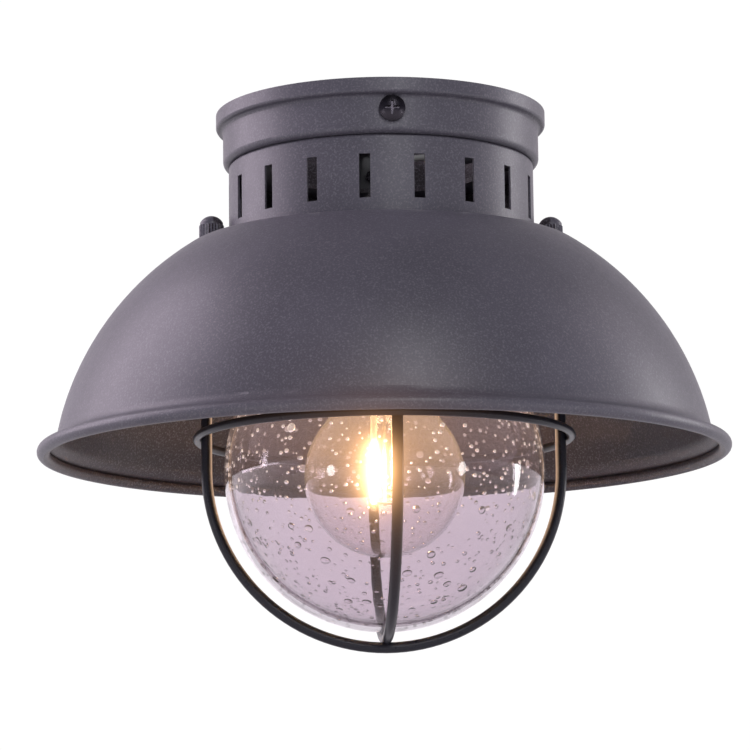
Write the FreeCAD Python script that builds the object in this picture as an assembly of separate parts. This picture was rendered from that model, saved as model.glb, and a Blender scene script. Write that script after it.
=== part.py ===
import FreeCAD, Part
import math
import os
from FreeCAD import Rotation, Vector

# A ceiling lantern, in millimetres. The ceiling is the plane z = 0, the lantern hangs below it, -Y is its
# front and the two knobs stand on the X axis. Each piece is centred on the Z axis unless it says otherwise.

# Canopy: a stepped pan with its rim on the ceiling.
CANOPY_DIAMETER = 122.4
CANOPY_HEIGHT = 19.4
CANOPY_SHEET = 1.0
CANOPY_BAND = 4.4
CANOPY_STEP_IN = 2.6
CANOPY_STEP_HEIGHT = 2.5
CANOPY_STEP_BEND = 0.2
CANOPY_CORNER = 2.0
FLANGE_WIDTH = 15.5

# Canopy screws, with pan heads and cross recesses.
SCREW_DROP = 10.9
SCREW_R = 2.0
SCREW_HEAD_R = 4.7
SCREW_HEAD_HEIGHT = 2.7
SCREW_HEAD_EDGE = 1.2
SCREW_REACH = 6.0
SCREW_SEAT_GAP = 0.2
HOLE_CLEARANCE = 0.3
RECESS_LENGTH = 5.2
RECESS_WIDTH = 1.0
RECESS_DEPTH = 1.5

# Mounting strap, a bar with two turned-down ears.
STRAP_SHEET = 1.6
STRAP_WIDTH = 20.0
STRAP_BEND = 2.4
EAR_CLEARANCE = 0.5
EAR_BELOW_SCREW = 5.1
BOX_HOLE_R = 2.4
BOX_SLOT_SPACING = 88.9
BOX_SLOT_LENGTH = 9.0
BOX_HOLE_SPACING = 69.85
STRAP_CENTRE_R = 5.1
GROUND_SCREW_Y = 20.0
GROUND_SCREW_R = 2.4
GROUND_HEAD_R = 4.6
GROUND_HEAD_HEIGHT = 3.0

# Vent neck: a tube with upright slots and an inward flange at each end.
NECK_DIAMETER = 113.0
NECK_HEIGHT = 30.0
NECK_SHEET = 0.8
NECK_CORNER = 1.2
SLOT_COUNT = 18
SLOT_WIDTH = 4.0
SLOT_HEIGHT = 16.0
SLOT_DROP = 7.2
RIVET_TO_WALL = 8.0
RIVET_R = 1.6
RIVET_HEAD_R = 3.0
RIVET_HEAD_HEIGHT = 1.0
RIVET_COUNT = 4

# Shade: a spun dome with a flat crown, a flared skirt and a rolled bead.
SHADE_DIAMETER = 254.0
SHADE_DEPTH = 77.0
SHADE_SHEET = 1.0
DOME_R = 106.55
CROWN_BEYOND_KNOB = 6.8
CROWN_CORNER = 12.0
SKIRT_FLARE = 5.0
BEAD_R = 2.4
BEAD_CURL_DEG = 300.0

# Screws that clamp the neck, the shade and the fitter cup.
CLAMP_COUNT = 4
NUT_TO_CORNER = 0.3
M4_R = 2.0
M4_HEAD_R = 3.8
M4_HEAD_HEIGHT = 2.4
M4_NUT_R = 4.0
M4_NUT_HEIGHT = 3.0
THREAD_PAST_NUT = 1.0

# Fitter cup: the globe's mouth seats against its flange.
FITTER_BEYOND_NECK = 1.0
FITTER_DEPTH = 36.6
FITTER_SHEET = 0.8
FITTER_CORNER = 3.0
FITTER_FLANGE_BEND = 1.5
FITTER_TO_LEG = 0.5

# Globe and its gaskets.
GLOBE_R = 58.8
GLOBE_WALL = 2.0
GLOBE_DROP = 45.4
NECK_TO_LEG = 9.0
GLOBE_SHOULDER = 5.0
GLOBE_LIP = 4.0
GLOBE_LIP_FILLET = 2.5
GLOBE_LIP_EDGE = 1.0
GLOBE_LIP_TO_LEG = 0.55
GASKET = 1.0
GASKET_EDGE = 0.5

# Cage of wire hoops and rings, and the studs at the side hoop's ends.
WIRE_R = 2.0
GUARD_WIRE_R = 1.6
WELD_SET = 0.15
CAGE_TO_GLOBE_SIDE = 4.35
CAGE_TO_GLOBE_BOTTOM = 0.45
HOOP_CROSSING = 3.3
GUARD_RING_DROP = 34.0
LEG_BEND_DROP = 14.6
LEG_BEND_HEIGHT = 20.0
FRONT_LEG_ABOVE_RING = 3.0

# Knobs on the studs, each with a captive washer.
KNOB_R = 4.6
KNOB_TO_NECK = 1.9
KNOB_HEIGHT = 10.4
KNOB_EDGE = 1.6
KNURL_COUNT = 24
KNURL_DEPTH = 0.35
KNURL_HEIGHT = 7.0
STUD_ABOVE_CROWN = 8.4
STUD_RUNNING_FIT = 0.06
STUD_HOLE_CLEARANCE = 0.4
KNOB_TIP_GAP = 0.5
WASHER_R = 5.0
WASHER_HEIGHT = 1.0
SPIGOT_R = 2.9
SPIGOT_SHORT = 0.1
SPIGOT_RUNNING_FIT = 0.08

# Socket and the bracket that holds it.
BRIDGE_SHEET = 1.5
BRIDGE_WIDTH = 18.0
BRIDGE_HEIGHT = 15.4
BRIDGE_TO_SOCKET = 1.0
BRIDGE_FOOT_GAP = 1.0
BRIDGE_BEND = 2.0
BRIDGE_SCREW_INSET = 5.0
SOCKET_R = 19.5
SOCKET_LIP = 1.0
SOCKET_LIP_HEIGHT = 4.0
SOCKET_HEIGHT = 46.0
SOCKET_EDGE = 1.5
SOCKET_TO_CROWN = 1.5
SHELL_SHEET = 0.45
SHELL_LENGTH = 25.4
SHELL_LIP = 2.2
SHELL_SHORT = 1.0
CONTACT_ABOVE_SHELL = 1.7
CONTACT_CHAMBER_R = 8.0
CONTACT_CHAMBER_HEIGHT = 4.6
CONTACT_DISC_R = 5.0
CONTACT_SHEET = 0.6
CONTACT_RISER_R = 1.5
CONTACT_RISER_SEAT = 2.0
CONTACT_GAP = 0.3
NIPPLE_R = 4.8
NIPPLE_BORE_R = 3.5
NIPPLE_IN_SOCKET = 7.0
NIPPLE_ABOVE_NUT = 2.0
LOCKNUT_R = 8.1
LOCKNUT_HEIGHT = 3.0
NIPPLE_WASHER_R = 9.0
NIPPLE_WASHER_HEIGHT = 1.5
TERMINAL_X = 9.5
TERMINAL_Y = 13.0
TERMINAL_R = 1.5
TERMINAL_HEAD_R = 2.5
TERMINAL_HEAD_HEIGHT = 1.5
TERMINAL_DEPTH = 6.0

# Leads and their twist-on connectors.
LEAD_R = 1.2
LEAD_EXIT_Y = 14.2
LEAD_SEAT = 6.0
CONNECTOR_MOUTH_R = 4.8
CONNECTOR_TIP_R = 3.2
CONNECTOR_LENGTH = 18.0
CONNECTOR_GRIP = 8.0
CONNECTOR_WING = 1.0
CONNECTOR_WING_SHEET = 1.6
LEAD_BEND_SHARE = 0.45
LEAD_RISE = 13.0
LEAD_ELBOW = (-9.0, -19.0, -12.0)
LEAD_END = (-24.0, -22.0, -10.0)

# Bulb: a 60 mm pear-shaped lamp with a 26 mm screw cap.
BULB_R = 29.5
BULB_LENGTH = 109.8
BULB_GLASS = 0.8
BULB_NECK_R = 11.8
BULB_NECK_STRAIGHT = 5.0
CAP_R = 13.1
CAP_RUNNING_FIT = 0.08
CAP_HEIGHT = 25.0
CAP_WALL = 0.4
CAP_THREAD_DEPTH = 0.6
CAP_THREAD_PITCH = 3.6
CAP_THREAD_TURNS = 5
CAP_GLASS_OVERLAP = 4.0
CAP_CONE_HEIGHT = 1.5
CAP_CONE_R = 9.0
INSULATOR_HEIGHT = 1.5
INSULATOR_TIP_R = 5.0
BULB_CONTACT_R = 4.75
BULB_CONTACT_HEIGHT = 0.8
STEM_FLARE_HEIGHT = 8.5
STEM_BASE_R = 4.0
STEM_R = 2.6
STEM_LENGTH = 24.5
FILAMENT_COUNT = 4
FILAMENT_R = 0.9
FILAMENT_LENGTH = 36.0
FILAMENT_CIRCLE_R = 5.5
FILAMENT_BELOW_STEM = 4.0
SUPPORT_R = 0.6
SUPPORT_ARM_R = 0.4
SUPPORT_TIP = 1.0

# Levels that follow from the sizes above.
NECK_R = NECK_DIAMETER / 2
NECK_TOP_Z = -CANOPY_HEIGHT
CROWN_Z = NECK_TOP_Z - NECK_HEIGHT
FITTER_TOP_Z = CROWN_Z - SHADE_SHEET
FITTER_Z = FITTER_TOP_Z - FITTER_DEPTH
LIP_TOP_Z = FITTER_Z - GASKET
LIP_Z = LIP_TOP_Z - GLOBE_LIP
GLOBE_Z = LIP_TOP_Z - GLOBE_DROP
SEAT_RING_Z = LIP_Z - GASKET - WIRE_R
SOCKET_TOP_Z = CROWN_Z + BRIDGE_HEIGHT - BRIDGE_SHEET - NIPPLE_WASHER_HEIGHT
SOCKET_Z = SOCKET_TOP_Z - SOCKET_HEIGHT
SHELL_Z = SOCKET_Z + SHELL_SHORT
SHELL_TOP_Z = SHELL_Z + SHELL_LENGTH
CONTACT_Z = SHELL_TOP_Z + CONTACT_ABOVE_SHELL
BULB_TOP_Z = CONTACT_Z - CONTACT_GAP
BULB_Z = BULB_TOP_Z - BULB_LENGTH + BULB_R

# Radii that follow from the sizes above.
RING_R = CANOPY_DIAMETER / 2 - CANOPY_STEP_IN
FLANGE_INNER_R = NECK_R - FLANGE_WIDTH
RIVET_CIRCLE_R = min(NECK_R, RING_R) - RIVET_TO_WALL
STUD_CIRCLE_R = NECK_R + KNOB_TO_NECK + KNOB_R
HOOP_R = GLOBE_R + CAGE_TO_GLOBE_SIDE + WIRE_R
LEG_FACE_R = min(STUD_CIRCLE_R, HOOP_R) - WIRE_R
GLOBE_NECK_R = LEG_FACE_R - NECK_TO_LEG
FRONT_HOOP_Z = GLOBE_Z - GLOBE_R - CAGE_TO_GLOBE_BOTTOM - WIRE_R + HOOP_R
SIDE_HOOP_Z = FRONT_HOOP_Z - HOOP_CROSSING
SEAT_RING_R = HOOP_R - 2 * WIRE_R + WELD_SET
GUARD_RING_R = HOOP_R + WIRE_R + GUARD_WIRE_R - WELD_SET
FITTER_R = GLOBE_NECK_R + FITTER_BEYOND_NECK
FITTER_FLANGE_R = LEG_FACE_R - FITTER_TO_LEG
CLAMP_CIRCLE_R = FITTER_R - FITTER_CORNER - M4_NUT_R - NUT_TO_CORNER
SOCKET_LIP_R = SOCKET_R + SOCKET_LIP
CROWN_HOLE_R = SOCKET_LIP_R + SOCKET_TO_CROWN
BRIDGE_HALF_SPAN = SOCKET_LIP_R + BRIDGE_TO_SOCKET + BRIDGE_SHEET
BRIDGE_FOOT_END = FLANGE_INNER_R - BRIDGE_FOOT_GAP
BRIDGE_SCREW_X = BRIDGE_FOOT_END - BRIDGE_SCREW_INSET
LIP_R = HOOP_R - WIRE_R - GLOBE_LIP_TO_LEG

Z_AXIS = Vector(0, 0, 1)


# ---- outlines and plain solids ----

def point(radius, z):
    return Vector(radius, 0, z)


def on_circle(centre, radius, degrees):
    """The point at an angle of a circle in the XZ plane."""
    angle = math.radians(degrees)
    return centre + Vector(radius * math.cos(angle), 0, radius * math.sin(angle))


def toward(start, end, distance):
    """The point at a distance from start towards end."""
    step = end - start
    return start + step * (distance / step.Length)


def line(start, end):
    return Part.LineSegment(start, end).toShape()


def arc(centre, start, end):
    """An arc about centre from start to end, the short way round."""
    radius = (start - centre).Length
    middle = (start + end) * 0.5 - centre
    middle = middle * (radius / middle.Length)
    return Part.Arc(start, centre + middle, end).toShape()


def closed_face(edges):
    return Part.Face(Part.Wire(edges))


def polygon_face(points):
    return Part.Face(Part.makePolygon(list(points) + [points[0]]))


def revolved(edges):
    return closed_face(edges).revolve(Vector(), Z_AXIS, 360)


def turned(points):
    """A solid of revolution whose section is a polygon of (radius, z) pairs."""
    return polygon_face([point(r, z) for r, z in points]).revolve(Vector(), Z_AXIS, 360)


def cylinder(radius, low, high, x=0.0, y=0.0):
    return Part.makeCylinder(radius, high - low, Vector(x, y, low))


def washer(inner_r, outer_r, low, high, x=0.0, y=0.0):
    return cylinder(outer_r, low, high, x, y).cut(cylinder(inner_r, low, high, x, y))


def hexagon(corner_r, low, high, x=0.0, y=0.0):
    axis = Vector(x, y, 0)
    corners = [axis + Rotation(Z_AXIS, angle).multVec(Vector(corner_r, 0, low)) for angle in polar(6)]
    return polygon_face(corners).extrude(Vector(0, 0, high - low))


def torus(ring_r, wire_r, z):
    return Part.makeTorus(ring_r, wire_r, Vector(0, 0, z))


def polar(count, first_deg=0.0):
    """Angles of a ring of equal pieces."""
    return [first_deg + 360.0 * i / count for i in range(count)]


def around(shape, degrees):
    copy = shape.copy()
    copy.rotate(Vector(), Z_AXIS, degrees)
    return copy


def ring_of(shape, angles):
    return Part.makeCompound([around(shape, angle) for angle in angles])


def cut_each(shape, tools):
    return shape.cut(list(tools))


# ---- swept strips and wires ----

def rounded_path(points, radii):
    """Straight runs through the points, joined at each inner point by a tangent arc of its radius."""
    edges = []
    start = points[0]
    for before, corner, after, radius in zip(points, points[1:], points[2:], radii):
        inward = (before - corner).normalize()
        outward = (after - corner).normalize()
        half = inward.getAngle(outward) / 2
        reach = radius / math.tan(half)
        arc_start = corner + inward * reach
        arc_end = corner + outward * reach
        bisector = (inward + outward).normalize()
        middle = corner + bisector * (radius / math.sin(half) - radius)
        edges.append(line(start, arc_start))
        edges.append(Part.Arc(arc_start, middle, arc_end).toShape())
        start = arc_end
    edges.append(line(start, points[-1]))
    return Part.Wire(edges)


def swept(path, section):
    return path.makePipeShell([section], True, False)


def round_wire(path, radius):
    edge = path.OrderedEdges[0]
    start = edge.valueAt(edge.FirstParameter)
    direction = edge.tangentAt(edge.FirstParameter)
    return swept(path, Part.Wire(Part.makeCircle(radius, start, direction)))


def bent_strip(points, bend, sheet, width, across):
    """Sheet bent along points in its middle plane, with its width along the unit vector across."""
    path = rounded_path(points, [bend] * (len(points) - 2))
    normal = (points[1] - points[0]).normalize().cross(across)
    half_sheet = normal * (sheet / 2)
    half_width = across * (width / 2)
    start = points[0]
    corners = [
        start - half_sheet - half_width,
        start + half_sheet - half_width,
        start + half_sheet + half_width,
        start - half_sheet + half_width,
    ]
    return swept(path, Part.makePolygon(corners + corners[:1]))


def s_bend(shift, height):
    """Turn in degrees, and the sum of the two radii, of an S bend that starts and ends straight."""
    turn = 2 * math.atan2(shift, height)
    return math.degrees(turn), height / math.sin(turn)


# ---- fasteners ----

def pan_screw(radius, length, head_r, head_height, head_edge):
    """A screw whose shank hangs from z = 0 and whose cross-recessed pan head stands on z = 0."""
    rise = head_height - head_edge
    dome_r = (head_r * head_r + rise * rise) / (2 * rise)
    top = point(0, head_height)
    edge = point(head_r, head_edge)
    dome_centre = point(0, head_height - dome_r)
    head = revolved([
        line(point(0, 0), point(head_r, 0)),
        line(point(head_r, 0), edge),
        arc(dome_centre, edge, top),
        line(top, point(0, 0)),
    ])
    scale = head_r / SCREW_HEAD_R
    slot = Part.makeBox(
        RECESS_LENGTH * scale,
        RECESS_WIDTH * scale,
        RECESS_DEPTH * scale,
        Vector(-RECESS_LENGTH * scale / 2, -RECESS_WIDTH * scale / 2, head_height - RECESS_DEPTH * scale),
    )
    recess = [slot, around(slot, 90)]
    return head.fuse(cylinder(radius, -length, 0)).cut(recess)


def moved(shape, x, y, z):
    copy = shape.copy()
    copy.translate(Vector(x, y, z))
    return copy


def nut(radius, corner_r, low, high, x, y):
    return hexagon(corner_r, low, high, x, y).cut(cylinder(radius, low, high, x, y))


# ---- canopy, strap and neck ----

def canopy():
    flange_r = CANOPY_DIAMETER / 2
    turn, radius_sum = s_bend(CANOPY_STEP_IN, CANOPY_STEP_HEIGHT)
    outer_bend = CANOPY_STEP_BEND + CANOPY_SHEET
    inner_bend = radius_sum - outer_bend
    step_top = point(flange_r - outer_bend, -CANOPY_BAND)
    step_low = point(RING_R + inner_bend, -CANOPY_BAND - CANOPY_STEP_HEIGHT)
    corner = point(RING_R - CANOPY_CORNER, NECK_TOP_Z + CANOPY_CORNER)

    def wall(inset):
        """The canopy's outline, the sheet's inset in from its outside, and its two ends."""
        top = point(flange_r - inset, 0)
        band_end = on_circle(step_top, outer_bend - inset, 0)
        step_a = on_circle(step_top, outer_bend - inset, -turn)
        step_b = on_circle(step_low, inner_bend + inset, 180 - turn)
        ring_top = on_circle(step_low, inner_bend + inset, 180)
        corner_a = on_circle(corner, CANOPY_CORNER - inset, 0)
        corner_b = on_circle(corner, CANOPY_CORNER - inset, -90)
        end = point(FLANGE_INNER_R, corner_b.z)
        edges = [line(top, band_end), arc(step_top, band_end, step_a)]
        if (step_a - step_b).Length > 1e-6:
            edges.append(line(step_a, step_b))
        edges += [
            arc(step_low, step_b, ring_top),
            line(ring_top, corner_a),
            arc(corner, corner_a, corner_b),
            line(corner_b, end),
        ]
        return edges, top, end

    outside, outside_top, outside_end = wall(0)
    inside, inside_top, inside_end = wall(CANOPY_SHEET)
    ends = [line(outside_top, inside_top), line(outside_end, inside_end)]
    shell = closed_face(Part.sortEdges(outside + inside + ends)[0]).revolve(Vector(), Z_AXIS, 360)
    hole_start = Vector(0, -CANOPY_DIAMETER / 2, -SCREW_DROP)
    screw_hole = Part.makeCylinder(SCREW_R + HOLE_CLEARANCE, CANOPY_DIAMETER, hole_start, Vector(0, 1, 0))
    rivet_hole = cylinder(RIVET_R, NECK_TOP_Z, NECK_TOP_Z + CANOPY_SHEET, RIVET_CIRCLE_R)
    return cut_each(shell, [screw_hole] + [around(rivet_hole, angle) for angle in polar(RIVET_COUNT)])


def ear_face_y():
    """How far from the axis the outer face of a strap's ear stands."""
    reach = RING_R - CANOPY_SHEET - EAR_CLEARANCE
    return math.sqrt(reach * reach - STRAP_WIDTH * STRAP_WIDTH / 4)


def strap_slot(y):
    half_run = BOX_SLOT_LENGTH / 2 - BOX_HOLE_R
    ends = [cylinder(BOX_HOLE_R, -STRAP_SHEET, 0, 0, y + side * half_run) for side in (-1, 1)]
    middle = Part.makeBox(
        2 * BOX_HOLE_R, 2 * half_run, STRAP_SHEET, Vector(-BOX_HOLE_R, y - half_run, -STRAP_SHEET)
    )
    return ends + [middle]


def mounting_strap():
    y = ear_face_y() - STRAP_SHEET / 2
    top = -STRAP_SHEET / 2
    low = -SCREW_DROP - EAR_BELOW_SCREW
    strip = bent_strip(
        [Vector(0, -y, low), Vector(0, -y, top), Vector(0, y, top), Vector(0, y, low)],
        STRAP_BEND, STRAP_SHEET, STRAP_WIDTH, Vector(1, 0, 0),
    )
    holes = [cylinder(STRAP_CENTRE_R, -STRAP_SHEET, 0)]
    holes.append(cylinder(GROUND_SCREW_R, -STRAP_SHEET, 0, 0, GROUND_SCREW_Y))
    for side in (-1, 1):
        holes += strap_slot(side * BOX_SLOT_SPACING / 2)
        holes.append(cylinder(BOX_HOLE_R, -STRAP_SHEET, 0, 0, side * BOX_HOLE_SPACING / 2))
    holes.append(Part.makeCylinder(
        SCREW_R, CANOPY_DIAMETER, Vector(0, -CANOPY_DIAMETER / 2, -SCREW_DROP), Vector(0, 1, 0)
    ))
    return cut_each(strip, holes)


def ground_screw():
    head = hexagon(GROUND_HEAD_R, -STRAP_SHEET - GROUND_HEAD_HEIGHT, -STRAP_SHEET, 0, GROUND_SCREW_Y)
    return head.fuse(cylinder(GROUND_SCREW_R, -STRAP_SHEET, 0, 0, GROUND_SCREW_Y))


def canopy_screws():
    screw = pan_screw(SCREW_R, SCREW_REACH, SCREW_HEAD_R, SCREW_HEAD_HEIGHT, SCREW_HEAD_EDGE)
    screw.rotate(Vector(), Vector(1, 0, 0), 90)
    front = moved(screw, 0, -RING_R - SCREW_SEAT_GAP, -SCREW_DROP)
    return ring_of(front, polar(2))


def vent_neck():
    corner_z = NECK_TOP_Z - NECK_CORNER
    low_corner_z = CROWN_Z + NECK_CORNER

    def wall(inset):
        upper = point(NECK_R - NECK_CORNER, corner_z)
        lower = point(NECK_R - NECK_CORNER, low_corner_z)
        bend = NECK_CORNER - inset
        top_a = on_circle(upper, bend, 90)
        top_b = on_circle(upper, bend, 0)
        low_a = on_circle(lower, bend, 0)
        low_b = on_circle(lower, bend, -90)
        start = point(FLANGE_INNER_R, top_a.z)
        end = point(FLANGE_INNER_R, low_b.z)
        edges = [
            line(start, top_a),
            arc(upper, top_a, top_b),
            line(top_b, low_a),
            arc(lower, low_a, low_b),
            line(low_b, end),
        ]
        return edges, start, end

    outside, outside_start, outside_end = wall(0)
    inside, inside_start, inside_end = wall(NECK_SHEET)
    ends = [line(outside_start, inside_start), line(outside_end, inside_end)]
    tube = closed_face(Part.sortEdges(outside + inside + ends)[0]).revolve(Vector(), Z_AXIS, 360)
    slot_z = NECK_TOP_Z - SLOT_DROP - SLOT_HEIGHT
    slot = Part.makeBox(NECK_DIAMETER, SLOT_WIDTH, SLOT_HEIGHT, Vector(0, -SLOT_WIDTH / 2, slot_z))
    first_slot = 90.0 + 180.0 / SLOT_COUNT
    cuts = [around(slot, angle) for angle in polar(SLOT_COUNT, first_slot)]
    rivet_hole = cylinder(RIVET_R, NECK_TOP_Z - NECK_SHEET, NECK_TOP_Z, RIVET_CIRCLE_R)
    cuts += [around(rivet_hole, angle) for angle in polar(RIVET_COUNT)]
    clamp_hole = cylinder(M4_R, CROWN_Z, CROWN_Z + NECK_SHEET, CLAMP_CIRCLE_R)
    cuts += [around(clamp_hole, angle) for angle in clamp_angles()]
    return cut_each(tube, cuts)


def neck_rivets():
    upper = NECK_TOP_Z + CANOPY_SHEET
    lower = NECK_TOP_Z - NECK_SHEET
    rivet = cylinder(RIVET_HEAD_R, upper, upper + RIVET_HEAD_HEIGHT, RIVET_CIRCLE_R)
    rivet = rivet.fuse(cylinder(RIVET_R, lower, upper, RIVET_CIRCLE_R))
    rivet = rivet.fuse(cylinder(RIVET_HEAD_R, lower - RIVET_HEAD_HEIGHT, lower, RIVET_CIRCLE_R))
    return ring_of(rivet, polar(RIVET_COUNT))


# ---- shade and fitter cup ----

def clamp_angles():
    return polar(CLAMP_COUNT, 180.0 / CLAMP_COUNT)


def shade():
    bead = point(SHADE_DIAMETER / 2 - BEAD_R, CROWN_Z - SHADE_DEPTH)
    flare = bead + Vector(0, 0, SKIRT_FLARE + BEAD_R)
    crown_edge = point(STUD_CIRCLE_R + CROWN_BEYOND_KNOB, CROWN_Z)
    # The dome's arc passes through the crown's edge and is tangent to the flare.
    span = flare - crown_edge
    far_r = DOME_R + SKIRT_FLARE
    along = (DOME_R * DOME_R - far_r * far_r + span.Length * span.Length) / (2 * span.Length)
    aside = math.sqrt(DOME_R * DOME_R - along * along)
    unit = Vector(span.x, 0, span.z).normalize()
    dome = crown_edge + unit * along + Vector(unit.z, 0, -unit.x) * aside
    corner_z = CROWN_Z - CROWN_CORNER
    corner_reach = DOME_R - CROWN_CORNER
    corner = point(dome.x + math.sqrt(corner_reach ** 2 - (corner_z - dome.z) ** 2), corner_z)
    curl_end = 90.0 - BEAD_CURL_DEG

    def wall(inset):
        """The shade's outline from its centre hole to the end of the bead's curl."""
        start = point(CROWN_HOLE_R, CROWN_Z - inset)
        crown_end = on_circle(corner, CROWN_CORNER - inset, 90)
        dome_start = toward(dome, corner, DOME_R - inset)
        dome_end = toward(dome, flare, DOME_R - inset)
        flare_end = flare - Vector(0, 0, SKIRT_FLARE + inset)
        roll_r = BEAD_R - inset
        curl_low = on_circle(bead, roll_r, -90)
        curl = on_circle(bead, roll_r, curl_end)
        edges = [
            line(start, crown_end),
            arc(corner, crown_end, dome_start),
            arc(dome, dome_start, dome_end),
            arc(flare, dome_end, flare_end),
            Part.Arc(flare_end, on_circle(bead, roll_r, 0), curl_low).toShape(),
            arc(bead, curl_low, curl),
        ]
        return edges, start, curl

    outside, outside_start, outside_end = wall(0)
    inside, inside_start, inside_end = wall(SHADE_SHEET)
    ends = [line(outside_start, inside_start), line(outside_end, inside_end)]
    dome_shell = closed_face(Part.sortEdges(outside + inside + ends)[0]).revolve(Vector(), Z_AXIS, 360)
    low = CROWN_Z - SHADE_SHEET
    stud_hole = cylinder(WIRE_R + STUD_HOLE_CLEARANCE, low, CROWN_Z, STUD_CIRCLE_R)
    clamp_hole = cylinder(M4_R, low, CROWN_Z, CLAMP_CIRCLE_R)
    bridge_hole = cylinder(M4_R, low, CROWN_Z, BRIDGE_SCREW_X)
    holes = [around(stud_hole, angle) for angle in (0, 180)]
    holes += [around(clamp_hole, angle) for angle in clamp_angles()]
    holes += [around(bridge_hole, angle) for angle in (0, 180)]
    return cut_each(dome_shell, holes)


def fitter_cup():
    corner = point(FITTER_R - FITTER_CORNER, FITTER_TOP_Z - FITTER_CORNER)
    flange = point(FITTER_R + FITTER_FLANGE_BEND, FITTER_Z + FITTER_SHEET + FITTER_FLANGE_BEND)

    def wall(inset):
        start = point(CROWN_HOLE_R, FITTER_TOP_Z - inset)
        corner_a = on_circle(corner, FITTER_CORNER - inset, 90)
        corner_b = on_circle(corner, FITTER_CORNER - inset, 0)
        bend_a = on_circle(flange, FITTER_FLANGE_BEND + inset, 180)
        bend_b = on_circle(flange, FITTER_FLANGE_BEND + inset, -90)
        end = point(FITTER_FLANGE_R, bend_b.z)
        edges = [
            line(start, corner_a),
            arc(corner, corner_a, corner_b),
            line(corner_b, bend_a),
            arc(flange, bend_a, bend_b),
            line(bend_b, end),
        ]
        return edges, start, end

    outside, outside_start, outside_end = wall(0)
    inside, inside_start, inside_end = wall(FITTER_SHEET)
    ends = [line(outside_start, inside_start), line(outside_end, inside_end)]
    cup = closed_face(Part.sortEdges(outside + inside + ends)[0]).revolve(Vector(), Z_AXIS, 360)
    low = FITTER_TOP_Z - FITTER_SHEET
    clamp_hole = cylinder(M4_R, low, FITTER_TOP_Z, CLAMP_CIRCLE_R)
    bridge_hole = cylinder(M4_R, low, FITTER_TOP_Z, BRIDGE_SCREW_X)
    holes = [around(clamp_hole, angle) for angle in clamp_angles()]
    holes += [around(bridge_hole, angle) for angle in (0, 180)]
    return cut_each(cup, holes)


def clamped_screw(seat_z, x):
    """A screw down through the crown and the fitter cup's top, with its head on seat_z."""
    length = seat_z - (FITTER_TOP_Z - FITTER_SHEET - M4_NUT_HEIGHT - THREAD_PAST_NUT)
    return moved(pan_screw(M4_R, length, M4_HEAD_R, M4_HEAD_HEIGHT, M4_HEAD_HEIGHT / 2), x, 0, seat_z)


def clamped_nut(x):
    top = FITTER_TOP_Z - FITTER_SHEET
    return nut(M4_R, M4_NUT_R, top - M4_NUT_HEIGHT, top, x, 0)


def shade_screws():
    return ring_of(clamped_screw(CROWN_Z + NECK_SHEET, CLAMP_CIRCLE_R), clamp_angles())


def shade_nuts():
    return ring_of(clamped_nut(CLAMP_CIRCLE_R), clamp_angles())


def bridge_screws():
    return ring_of(clamped_screw(CROWN_Z + BRIDGE_SHEET, BRIDGE_SCREW_X), polar(2))


def bridge_nuts():
    return ring_of(clamped_nut(BRIDGE_SCREW_X), polar(2))


# ---- globe, gaskets and cage ----

def globe():
    centre = point(0, GLOBE_Z)
    shoulder_r = GLOBE_NECK_R + GLOBE_SHOULDER
    shoulder_z = GLOBE_Z + math.sqrt((GLOBE_R + GLOBE_SHOULDER) ** 2 - shoulder_r ** 2)
    shoulder = point(shoulder_r, shoulder_z)
    lip_bend = point(GLOBE_NECK_R + GLOBE_LIP_FILLET, LIP_Z - GLOBE_LIP_FILLET)
    low_edge = point(LIP_R - GLOBE_LIP_EDGE, LIP_Z + GLOBE_LIP_EDGE)
    top_edge = point(LIP_R - GLOBE_LIP_EDGE, LIP_TOP_Z - GLOBE_LIP_EDGE)
    mouth_r = GLOBE_NECK_R - GLOBE_WALL
    mouth_edge = point(mouth_r + GLOBE_LIP_EDGE, LIP_TOP_Z - GLOBE_LIP_EDGE)

    def ball(inset):
        pole = point(0, GLOBE_Z - GLOBE_R + inset)
        ball_end = toward(centre, shoulder, GLOBE_R - inset)
        neck_low = on_circle(shoulder, GLOBE_SHOULDER + inset, 180)
        belly = on_circle(centre, GLOBE_R - inset, 0)
        edges = [Part.Arc(pole, belly, ball_end).toShape(), arc(shoulder, ball_end, neck_low)]
        return edges, pole, neck_low

    outside, outside_pole, outside_neck = ball(0)
    inside, inside_pole, inside_neck = ball(GLOBE_WALL)
    bend_a = on_circle(lip_bend, GLOBE_LIP_FILLET, 180)
    bend_b = on_circle(lip_bend, GLOBE_LIP_FILLET, 90)
    low_a = on_circle(low_edge, GLOBE_LIP_EDGE, -90)
    low_b = on_circle(low_edge, GLOBE_LIP_EDGE, 0)
    top_a = on_circle(top_edge, GLOBE_LIP_EDGE, 0)
    top_b = on_circle(top_edge, GLOBE_LIP_EDGE, 90)
    mouth_a = on_circle(mouth_edge, GLOBE_LIP_EDGE, 90)
    mouth_b = on_circle(mouth_edge, GLOBE_LIP_EDGE, 180)
    lip = [
        line(outside_neck, bend_a),
        arc(lip_bend, bend_a, bend_b),
        line(bend_b, low_a),
        arc(low_edge, low_a, low_b),
        line(low_b, top_a),
        arc(top_edge, top_a, top_b),
        line(top_b, mouth_a),
        arc(mouth_edge, mouth_a, mouth_b),
        line(mouth_b, inside_neck),
    ]
    poles = [line(outside_pole, inside_pole)]
    return closed_face(Part.sortEdges(outside + lip + inside + poles)[0]).revolve(Vector(), Z_AXIS, 360)


def upper_gasket():
    return washer(FITTER_R + GASKET_EDGE, FITTER_FLANGE_R, LIP_TOP_Z, FITTER_Z)


def lower_gasket():
    return washer(SEAT_RING_R - WIRE_R + GASKET_EDGE, LIP_R, LIP_Z - GASKET, LIP_Z)


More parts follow.
